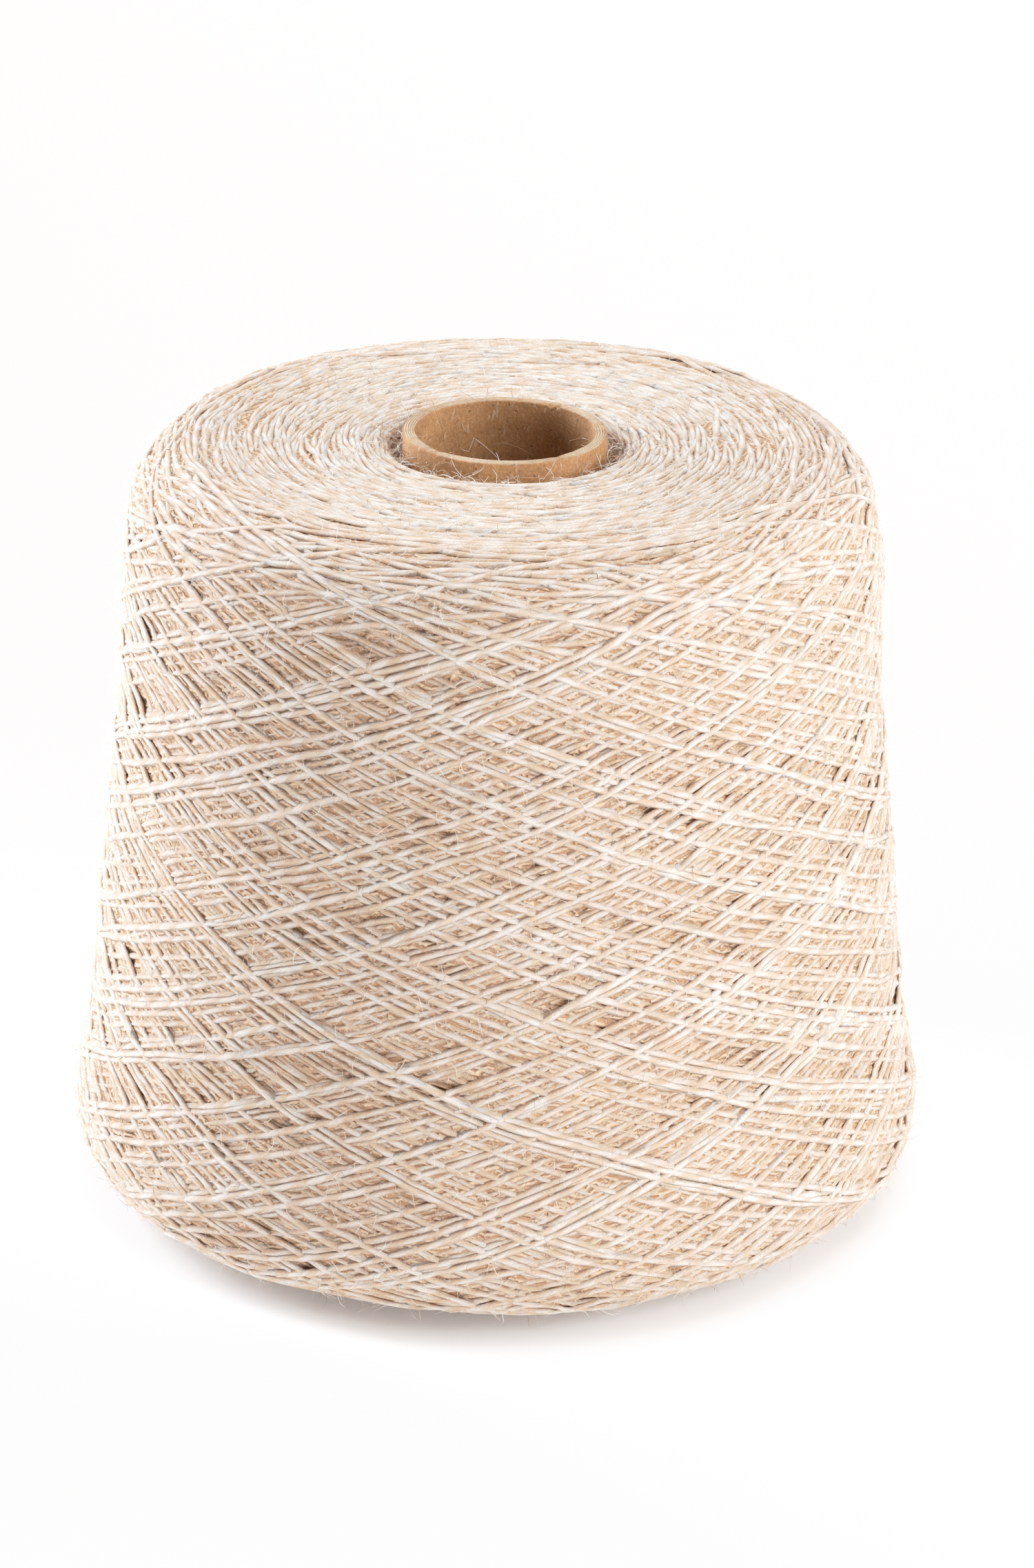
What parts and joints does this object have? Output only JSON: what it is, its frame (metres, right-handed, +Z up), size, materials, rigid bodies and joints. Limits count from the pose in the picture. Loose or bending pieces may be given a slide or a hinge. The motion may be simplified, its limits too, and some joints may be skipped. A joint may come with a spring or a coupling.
{
  "type": "cone of yarn",
  "caption": "Cross-wound yarn in a tapered cylinder with rounded ends on a hollow paper cone, standing nose up; the yarn is drawn off over the nose.",
  "frame": {"origin": "centre of the ring on which the paper cone stands, on the surface below", "axes": "+Z up along the cone's axis, towards its nose; +X and +Y across it, with +X to the right as seen from the picture's side, which looks along +Y"},
  "size_m": [0.1811, 0.1817, 0.168],
  "materials": {
    "cone_card": "plain brown spiral-wound card with short dark fibres, paler where it is cut at the rim",
    "marled_yarn": "soft two-ply yarn, one ply cream and one light tan, with a fine halo of fibres"
  },
  "bodies": {
    "root": {"paper_cone": "cone_card", "yarn_winding": "marled_yarn"}
  },
  "joints": []
}
